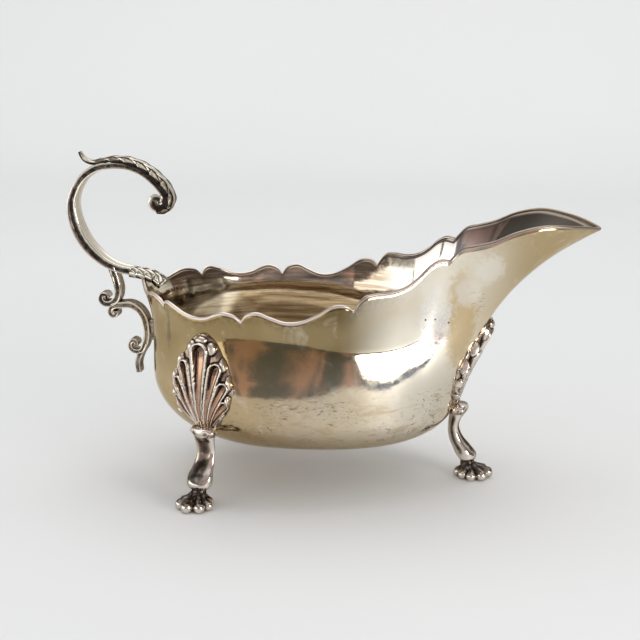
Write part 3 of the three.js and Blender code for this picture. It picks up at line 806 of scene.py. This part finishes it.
def make_handle(material):
    def taper(t):
        body = 0.8 + 0.36 * np.sin(math.pi * np.minimum(1.9 * t, 1)) ** 2 - 0.1 * t
        return body * (1 + 1.15 * np.clip((t - 0.88) / 0.1, 0, 1) ** 2)

    def widening(t):
        return 0.8 + 0.22 * np.sin(math.pi * np.minimum(1.7 * t, 1)) ** 2 + 0.16 * t**6

    scroll = rounded_bar(
        place_handle(SCROLL_PATH), lambda t: SCROLL_THICKNESS * 1.3 * taper(t),
        lambda t: SCROLL_WIDTH * widening(t), 260,
    )
    made = make_mesh("handle_scroll_bar", *scroll, {"grime": bar_grime(260, -1)})
    mark_hollows(made, 14, 0.16)
    finish_piece(made, "handle_scroll", material)

    def leaf_half_width(t):
        lobes = 1 - 0.16 * (1 - saw(t * LEAFLETS - 0.35))
        outline = 0.3 + 0.72 * np.sin(math.pi * np.minimum(1.5 * t, 1) / 2) + 0.06 * t
        return SCROLL_WIDTH * LEAF_SPREAD / 2 * lobes * outline

    def leaf_size(t):
        return 0.35 + 0.65 * np.sin(math.pi * np.minimum(2.2 * t, 1) / 2)

    def leaf_upper(u, t):
        away = np.abs(u)
        crown = 0.95 - 1.5 * away**2.4
        veins = 0.5 * saw(t * LEAFLETS - 1.5 * away) * np.clip((away - LEAF_CHANNEL) * 6, 0, 1)
        channel = 0.35 * np.exp(-((away - LEAF_CHANNEL) / 0.07) ** 2)
        return leaf_size(t) * (crown + veins - channel)

    def leaf_lower(u, t):
        return leaf_size(t) * (-0.75 - 0.5 * np.abs(u) ** 2.2)

    rows, columns = 420, 36
    leaf = relief_bar(place_handle(LEAF_PATH), leaf_half_width, leaf_upper, leaf_lower, rows, columns)
    across = side_to_side(columns)
    crest = np.concatenate([-0.9 * np.exp(-(across / 0.45) ** 4), 0 * across])
    made = make_mesh("handle_leaf", *leaf, {"grime": [*np.tile(crest, rows), 0, 0]})
    mark_hollows(made, 10, 0.1)
    finish_piece(made, "handle_leaf_cap", material)

    def ruffle_width(t):
        return 4.4 * (0.75 + 0.25 * t) * (1 - 0.12 * (1 - saw(t * RUFFLES)))

    def ruffle_upper(u, t):
        veins = saw(t * RUFFLES - 1.9 * np.abs(u))
        return 1.2 - 1.5 * u**2 + 0.4 * veins - 0.4 * np.exp(-(u / 0.14) ** 2)

    points, faces = relief_bar(
        place_handle(RIM_LEAF_PATH), ruffle_width, ruffle_upper, lambda u, t: -0.9 - 0.9 * u**2, 90, 30,
    )
    made = make_mesh("handle_rim_ruffle", points, faces, {"grime": [0.45] * len(points)})
    mark_hollows(made, 8, 0.12)
    finish_piece(made, "handle_rim_leaf", material)

    def curl_taper(t):
        return 1 - 0.4 * np.clip((t - 0.45) / 0.55, 0, 1)

    strut = rounded_bar(
        place_handle(STRUT_PATH), lambda t: STRUT_THICKNESS * curl_taper(t), lambda t: STRUT_WIDTH, 90,
    )
    made = make_mesh("handle_strut_curl", *strut, {"grime": bar_grime(90, 0.5)})
    mark_hollows(made, 10, 0.14)
    finish_piece(made, "handle_strut", material)

    def bracket_taper(t):
        return 0.7 + 0.3 * np.clip(t / 0.22, 0, 1) - 0.25 * t**4

    bars = [
        rounded_bar(place_handle(reach_wall(BRACKET_PATH)), lambda t: BRACKET_THICKNESS * bracket_taper(t),
                    lambda t: BRACKET_WIDTH * (1 - 0.2 * t**4), 160),
        rounded_bar(place_handle(reach_wall(BRACKET_CURL)),
                    lambda t: BRACKET_THICKNESS * 0.8 * (1 - 0.3 * t),
                    lambda t: BRACKET_WIDTH * (1 - 0.06 * t), 70),
        rounded_bar(place_handle(reach_wall(BRACKET_PAD)),
                    lambda t: BRACKET_PAD_HEIGHT, lambda t: BRACKET_WIDTH * 0.8, 12),
    ]
    made = make_mesh("handle_bracket_scroll", *joined(*bars))
    fuse(made, 0.2)
    places, _ = vertex_arrays(made.data)
    inset = 1 - np.abs(places[:, 1]) / (BRACKET_WIDTH / 2 * MM)
    write_shade(made.data, "grime", 0.55 * np.clip(inset / 0.2, 0, 1))
    mark_hollows(made, 8, 0.12)
    finish_piece(made, "handle_bracket", material)


# Leg sizes
REAR_LEG_ANGLE = 112.5
COLLAR_HEIGHT = 25.8
ANKLE_HEIGHT = 6
LEG_WIDTH = 7.2
FOOT_FORWARD = 6.6
SEAM = 0.3

# Leg profile: share of the height from ankle to collar, forward of the wall at the collar,
# half depth, share of the leg's half width
LEG_PROFILE = [
    [0, 5.1, 2.5, 0.92], [0.04, 5.1, 3.0, 1.14], [0.12, 4.6, 3.6, 1.22], [0.24, 3.4, 3.4, 1.1],
    [0.35, 1.9, 2.9, 0.98], [0.47, 0.9, 2.4, 0.9], [0.61, 0.4, 2.1, 0.88], [0.73, 0.8, 2.3, 0.92],
    [0.82, 1.3, 2.6, 1.0], [0.88, 1.6, 2.9, 1.1], [0.905, 1.7, 3.0, 1.22], [0.94, 1.8, 3.2, 1.3],
    [0.97, 1.9, 3.1, 1.24], [1, 2.0, 2.9, 1.1],
]


def leg_frame(leg):
    """Origin on the wall at the collar, the direction outwards and the direction across."""
    out = np.array([math.cos(leg), math.sin(leg), 0])
    across = np.array([-math.sin(leg), math.cos(leg), 0])
    angle, level = wall_place(leg, 0, COLLAR_HEIGHT)
    return bowl_point(angle, level), out, across


def make_shank(name, leg, material):
    origin, out, across = leg_frame(leg)
    sides, rows = 56, 90
    turns = np.linspace(0, 2 * math.pi, sides, endpoint=False)
    off_front = np.abs((turns + math.pi) % (2 * math.pi) - math.pi)
    rings, grime = [], []
    for rise in np.linspace(0, 1, rows):
        forward, depth, width = (read_table(LEG_PROFILE, rise, column) for column in (1, 2, 3))
        height = ANKLE_HEIGHT + SEAM + (COLLAR_HEIGHT - ANKLE_HEIGHT - SEAM) * rise
        shank = np.clip((rise - 0.1) / 0.12, 0, 1) * np.clip((0.86 - rise) / 0.1, 0, 1)
        collar = np.exp(-((rise - 0.93) / 0.04) ** 2)
        channel = shank * np.exp(-(off_front / 0.75) ** 4)
        groove = shank * np.exp(-((off_front - 2) / 0.3) ** 2)
        swell = -0.2 * channel + 0.12 * shank * np.exp(-((off_front - 1.3) / 0.3) ** 2) - 0.12 * groove
        swell = swell + 0.07 * collar * np.cos(turns * 6)
        ring = origin * [1, 1, 0] + [0, 0, height]
        ring = ring + np.outer(forward + depth * (1 + swell) * np.cos(turns), out)
        ring = ring + np.outer(width * LEG_WIDTH / 2 * (1 + swell) * np.sin(turns), across)
        rings.append(ring)
        hock = math.exp(-((rise - 0.2) / 0.12) ** 2) * np.exp(-off_front**4)
        grime.extend(np.maximum(np.maximum(channel, groove) * 0.85, hock * 0.7))
    made = make_mesh(f"{name}_shank", *lofted(rings), {"grime": [*grime, 0, 0]})
    mark_hollows(made, 10, 0.14)
    finish_piece(made, f"{name}_leg", material)
    return made


TUBE_RINGS = 10
TUBE_SIDES = 14


def tube(points, radii):
    """Round-ended tube through a few points."""
    places, along = smooth_line(points, TUBE_RINGS)
    radius = np.interp(np.linspace(0, 1, TUBE_RINGS), np.linspace(0, 1, len(radii)), radii)
    turns = np.linspace(0, 2 * math.pi, TUBE_SIDES, endpoint=False)
    start = [(places[0] - along[0] * radius[0] * math.sin(t), along[0], radius[0] * math.cos(t))
             for t in np.radians([75, 50, 25])]
    end = [(places[-1] + along[-1] * radius[-1] * math.sin(t), along[-1], radius[-1] * math.cos(t))
           for t in np.radians([25, 50, 75])]
    rings = []
    for middle, direction, size in [*start, *zip(places, along, radius), *end]:
        side = unit(np.cross(direction, [0.31, 0.52, 0.79]))
        other = np.cross(direction, side)
        rings.append(middle + size * (np.outer(np.cos(turns), side) + np.outer(np.sin(turns), other)))
    return lofted(rings)


# Paw: each toe's angle from straight ahead, reach and thickness
TOES = [(-88, 4.6, 1.75), (-45, 5.1, 1.9), (0, 5.4, 2), (45, 5.1, 1.9), (88, 4.6, 1.75)]
HEELS = [(134, 3.9, 1.7), (180, 4.4, 1.7), (-134, 3.9, 1.7)]


def make_paw(name, leg, material):
    origin, out, across = leg_frame(leg)
    parts = []
    for turn, reach, thick in TOES:
        forward, side = math.cos(math.radians(turn)), math.sin(math.radians(turn))
        line = [
            (-1.4 + 0.8 * forward, 1.6 * side, 4.3),
            (-0.2 + 0.6 * reach * forward, 0.6 * reach * side, 3.3),
            (reach * forward, reach * side, thick - 0.15),
        ]
        parts.append(tube(line, [1.3, 1.0, thick]))
    for turn, reach, thick in HEELS:
        forward, side = math.cos(math.radians(turn)), math.sin(math.radians(turn))
        line = [(-1.2, 0.4 * side, 3.2), (reach * forward, reach * side, thick - 0.1)]
        parts.append(tube(line, [1.8, thick]))
    parts.append(tube([(-1.5, 0, 6.1), (-1.3, 0, 4.6), (-0.6, 0, 2.4)], [2.3, 2.6, 2.9]))
    parts.append(tube([(-2.4, 0, 1.3), (2.2, 0, 1.1)], [2.3, 2.1]))
    points, faces = joined(*parts)
    ground = origin * [1, 1, 0]
    points = ground + (points + [FOOT_FORWARD, 0, 0]) @ [out, across, [0, 0, 1]]
    made = make_mesh(f"{name}_paw", points, faces)
    fuse(made, 0.22, 2)
    places, _ = vertex_arrays(made.data)
    places[:, 2] = np.clip(places[:, 2], 0, ANKLE_HEIGHT * MM)
    made.data.vertices.foreach_set("co", places.ravel())
    made.data.update()
    # Painted dark reflection: the paw is darker from 2.3 mm up, over the toe tops and instep, standing in
    # for the dark room it reflects
    write_shade(made.data, "grime", np.clip((places[:, 2] / MM - 2.3) / 1.2, 0, 0.95))
    mark_hollows(made, 9, 0.13)
    finish_piece(made, f"{name}_foot", material)
    return made


# Shell outline: height above the collar, half width
SHELL_OUTLINE = [
    [0, 5.2], [2, 6.8], [5, 8.9], [9.5, 11], [14.5, 11.4], [19, 10], [23, 8], [26.5, 5.6], [29, 3.8],
    [30.6, 1.4],
]
SHELL_THICKNESS = 3.7
SHELL_EDGE = 0.1
SHELL_WAVES = 4.5
SHELL_WAVE_DEPTH = 0.05

# Lobes of one half of the shell, outermost first: middle of the loop, its half width and reach,
# and how high its bead stands
SHELL_LOBES = [
    [(9, 8.4), (1.7, 1.7), 1.3],
    [(8.4, 13.9), (2.0, 2.1), 1.6],
    [(5.7, 19.3), (2.3, 2.5), 1.9],
    [(0, 24.6), (3.3, 3.5), 2.2],
]
LOBE_REACH = 1.02

# Outer scallops behind the lobes: middle, size
SHELL_SCALLOPS = [
    [(0, 28.6), (2.2, 1.6)], [(3.6, 26), (1.7, 2.3)], [(7.9, 21.4), (1.5, 2.5)], [(10.2, 15.8), (1.2, 2.5)],
    [(10.2, 9.8), (1.1, 2.2)], [(8.4, 4.6), (1.1, 1.8)],
]


def shell_relief(side, height):
    """Height of the shell's face, how far each place lies in a flute, and its tarnish."""
    away = np.abs(side)
    half = read_table(SHELL_OUTLINE, height, 1)
    crown = np.clip(1 - (away / half) ** 2, 0, 1)
    ground = 0.6 + 0.7 * crown
    relief = ground.copy()
    grime = np.zeros_like(side)
    for (s, h), (wide, tall) in SHELL_SCALLOPS:
        gap = ((away - s) / wide) ** 2 + ((height - h) / tall) ** 2
        lump = np.sqrt(np.clip(1 - gap, 0, 1))
        relief = np.maximum(relief, ground + 1.6 * lump)
        grime = np.minimum(grime, -0.8 * lump)
    flute = np.zeros_like(side)
    for middle, (wide, tall), bead in SHELL_LOBES:
        foot = np.array([0.22 * middle[0], 0.4])
        length = math.dist(middle, foot)
        axis = (middle - foot) / length
        ahead = (away - middle[0]) * axis[0] + (height - middle[1]) * axis[1]
        beside = (away - middle[0]) * axis[1] - (height - middle[1]) * axis[0]
        rise = np.clip(1 + ahead / length, 0, 1)
        spread = 0.55 + (wide - 0.55) * rise**1.1
        reach = np.where(ahead > 0, np.hypot(beside / wide, ahead / tall), np.abs(beside) / spread)
        reach = np.where(ahead < -length, 9, reach)
        in_lobe = reach < LOBE_REACH
        valley = 0.3 + 0.75 * rise
        own = ground - valley * np.clip(1 - (reach / 0.78) ** 2, 0, 1)
        bead_width = 0.11 + 0.11 * rise**2
        across = np.clip(1 - ((reach - 1.03 + bead_width) / bead_width) ** 2, 0, 1)
        own = own + bead * (0.18 + 0.82 * rise**2) * np.sqrt(across)
        relief = np.where(in_lobe, own, relief)
        hollow = np.clip((0.72 - reach) / 0.2, 0, 1)
        flute = np.where(in_lobe, hollow, flute)
        grime = np.where(in_lobe, hollow * np.clip((ahead + 0.1 * length) / 1.5, 0, 0.75), grime)
    rim = np.clip((1 - away / half) * half / 0.8, 0, 1)
    return relief * np.sqrt(rim), flute, grime


def make_shell(name, leg, material):
    rows, columns = 190, 130
    top = SHELL_OUTLINE[-1][0]
    heights = np.linspace(0.05, top, rows)
    across = side_to_side(columns)
    half = read_table(SHELL_OUTLINE, heights, 1)
    scallops = 1 + SHELL_WAVE_DEPTH * np.cos(heights / top * 2 * math.pi * SHELL_WAVES)
    height, share = np.meshgrid(heights, across, indexing="ij")
    side = share * (half * scallops)[:, None]
    relief, flute, grime = shell_relief(side, height)
    relief = np.clip(relief, 0, SHELL_THICKNESS)
    relief[:, [0, -1]] = SHELL_EDGE
    relief[[0, -1], :] = SHELL_EDGE
    angle, level = wall_place(leg, side, COLLAR_HEIGHT + SEAM + height)
    front = offset_point(angle, level, relief)
    back = bowl_point(angle, level)
    rings = np.concatenate([front, back[:, ::-1]], axis=1)
    shades = {}
    for shade_name, values in (("flute", flute), ("grime", grime)):
        both = np.concatenate([values, 0 * values], axis=1).ravel()
        shades[shade_name] = [*both, 0, 0]
    made = make_mesh(f"{name}_shell", *lofted(rings), shades)
    mark_hollows(made, 10, 0.16)
    finish_piece(made, f"{name}_shell_knee", material)
    return made


def mirror_piece(made, name, node_name, material):
    """The same piece on the other side of the boat."""
    mesh = made.data.copy()
    mesh.name = name
    places, _ = vertex_arrays(mesh)
    places[:, 1] *= -1
    mesh.vertices.foreach_set("co", places.ravel())
    mesh.flip_normals()
    mesh.materials.clear()
    finish_piece(add_object(name, mesh), node_name, material)


def make_legs(materials):
    makers = [("leg", "shank", make_shank), ("foot", "paw", make_paw), ("shell_knee", "shell", make_shell)]
    for part, ending, make in makers:
        slot = "foot" if part == "foot" else "leg"
        make("front", 0.0, materials[slot])
        near = make("rear_right", math.radians(-REAR_LEG_ANGLE), materials[slot])
        mirror_piece(near, f"rear_left_{ending}", f"rear_left_{part}", materials[slot])


# Table and backdrop, in metres
TABLE_FRONT = -1.3
TABLE_BACK = 0.7
TABLE_HALF_WIDTH = 1.8
BACKDROP_BEND = 0.35
BACKDROP_HEIGHT = 1.6
TABLE_TONES = [(0.71, 0.71, 0.705), (0.74, 0.745, 0.745)]

# Cards that only show in the silver: name, centre, size, turn away from the camera, two colours
CARDS = [
    ["room_wall", (0.085, -0.34, 0.212), (0.47, 0.4), 0, (0.22, 0.24, 0.27), (0.72, 0.51, 0.47)],
    ["window_sill", (0.5, -0.39, 0.017), (0.36, 0.032), 53, (0.08, 0.1, 0.14), (0.16, 0.2, 0.27)],
    ["window_frame", (0.86, -0.66, 0.22), (0.75, 0.44), 53, (0.2, 0.2, 0.19), (0.3, 0.31, 0.3)],
]

# Lamps: name, place, size, watts, colour
LAMPS = [
    ["window", (0.824, -0.625, 0.21), (0.4, 0.32), 5.0, (1, 0.98, 0.95)],
    ["overhead", (0.0, 0.45, 1.4), (1.5, 1.5), 8.5, (0.97, 0.99, 1)],
    ["left_window", (-0.87, -0.47, 0.2), (1.5, 0.37), 3.4, (1, 0.99, 0.97)],
]
LAMP_TARGET = (0, 0, 0.04)

# Room seen in the silver, by height: walls, upper walls, ceiling; then what lights the table and what shows
ROOM_DARK = (0.07, 0.05, 0.04)
ROOM_BROWN = (0.26, 0.2, 0.17)
ROOM_UPPER = (0.24, 0.23, 0.22)
CEILING = (0.75, 0.75, 0.75)
FILL = (0.74, 0.74, 0.75)
BACKGROUND = (0.78, 0.79, 0.8)

CAMERA_PLACE = (0.05861, -0.42505, 0.15783)
CAMERA_TILT = 13.662
CAMERA_TURN = 8.293
CAMERA_LENS = 73.125
CAMERA_SENSOR = 36


def rough_material(name, spread, low, high, tones, roughness):
    """Matt material mottled between two tones."""
    material = bpy.data.materials.new(name)
    material.use_nodes = True
    tree = material.node_tree
    shader = tree.nodes["Principled BSDF"]
    place = node(tree, "ShaderNodeTexCoord").outputs["Object"]
    mottle = noise(place, *spread)
    share = mottle if low is None else remap(mottle, low, high)
    tree.links.new(mixed(share, *tones), shader.inputs["Base Color"])
    shader.inputs["Roughness"].default_value = roughness
    return material


def make_stage():
    profile = [(TABLE_FRONT, 0), (TABLE_BACK, 0)]
    for turn in np.radians(np.arange(-85, 1, 5)):
        profile.append((TABLE_BACK + BACKDROP_BEND * math.cos(turn), BACKDROP_BEND * (1 + math.sin(turn))))
    profile.append((TABLE_BACK + BACKDROP_BEND, BACKDROP_HEIGHT))
    points = [(x, y, z) for y, z in profile for x in (-TABLE_HALF_WIDTH, TABLE_HALF_WIDTH)]
    mesh = bpy.data.meshes.new("table_and_backdrop")
    mesh.from_pydata(points, [], grid_faces(len(profile), 2, closed=False))
    for polygon in mesh.polygons:
        polygon.use_smooth = True
    mesh.materials.append(rough_material("pale_table", (3, 2), None, None, TABLE_TONES, 0.7))
    stage = add_object("table_and_backdrop", mesh)


def make_card(name, centre, size, turn, *tones):
    """Upright card for a dark wall of the room or the frame of a window."""
    mesh = bpy.data.meshes.new(name)
    half_width, half_height = size[0] / 2, size[1] / 2
    corners = [(-1, -1), (1, -1), (1, 1), (-1, 1)]
    mesh.from_pydata([(x * half_width, 0, z * half_height) for x, z in corners], [], [(0, 1, 2, 3)])
    card = add_object(name, mesh)
    card.location = centre
    card.rotation_euler = (0, 0, math.radians(turn))
    mesh.materials.append(rough_material(name, (11, 3, 0.5, 0.6), 0.42, 0.56, tones, 0.9))
    card.visible_camera = False
    card.visible_diffuse = False
    card.visible_shadow = False


def add_lamp(name, place, size, watts, colour):
    data = bpy.data.lights.new(name, "AREA")
    data.shape = "RECTANGLE"
    data.size, data.size_y = size
    data.energy = watts
    data.color = colour
    lamp = add_object(name, data)
    lamp.location = place
    lamp.rotation_mode = "QUATERNION"
    lamp.rotation_quaternion = (Vector(LAMP_TARGET) - Vector(place)).to_track_quat("-Z", "Y")


def make_room():
    scene = bpy.context.scene
    scene.view_settings.view_transform = "Standard"
    world = bpy.data.worlds.new("room")
    world.use_nodes = True
    scene.world = world
    tree = world.node_tree
    rays = node(tree, "ShaderNodeLightPath").outputs
    way = node(tree, "ShaderNodeTexCoord").outputs["Generated"]
    height = node(tree, "ShaderNodeSeparateXYZ", {"Vector": way}).outputs["Z"]
    walls = mixed(noise(way, 2.5, 3), ROOM_DARK, ROOM_BROWN)
    room = mixed(remap(height, 0.15, 0.6), walls, ROOM_UPPER)
    room = mixed(remap(height, 0.6, 0.85), room, CEILING)
    light = mixed(rays["Is Diffuse Ray"], room, FILL)
    colour = mixed(rays["Is Camera Ray"], light, BACKGROUND)
    tree.links.new(colour, tree.nodes["Background"].inputs["Color"])
    for lamp in LAMPS:
        add_lamp(*lamp)
    for card in CARDS:
        make_card(*card)


def make_camera():
    data = bpy.data.cameras.new("camera")
    data.lens = CAMERA_LENS
    data.sensor_width = CAMERA_SENSOR
    camera = add_object("camera", data)
    camera.location = CAMERA_PLACE
    camera.rotation_euler = (math.radians(90 - CAMERA_TILT), 0, math.radians(CAMERA_TURN))
    bpy.context.scene.camera = camera


make_camera()
make_stage()
make_room()

silver = {slot: cast_material(f"worn_silver_{slot}", *tones) for slot, tones in CASTINGS.items()}
make_bowl(bowl_material())
make_handle(silver["handle"])
make_legs(silver)
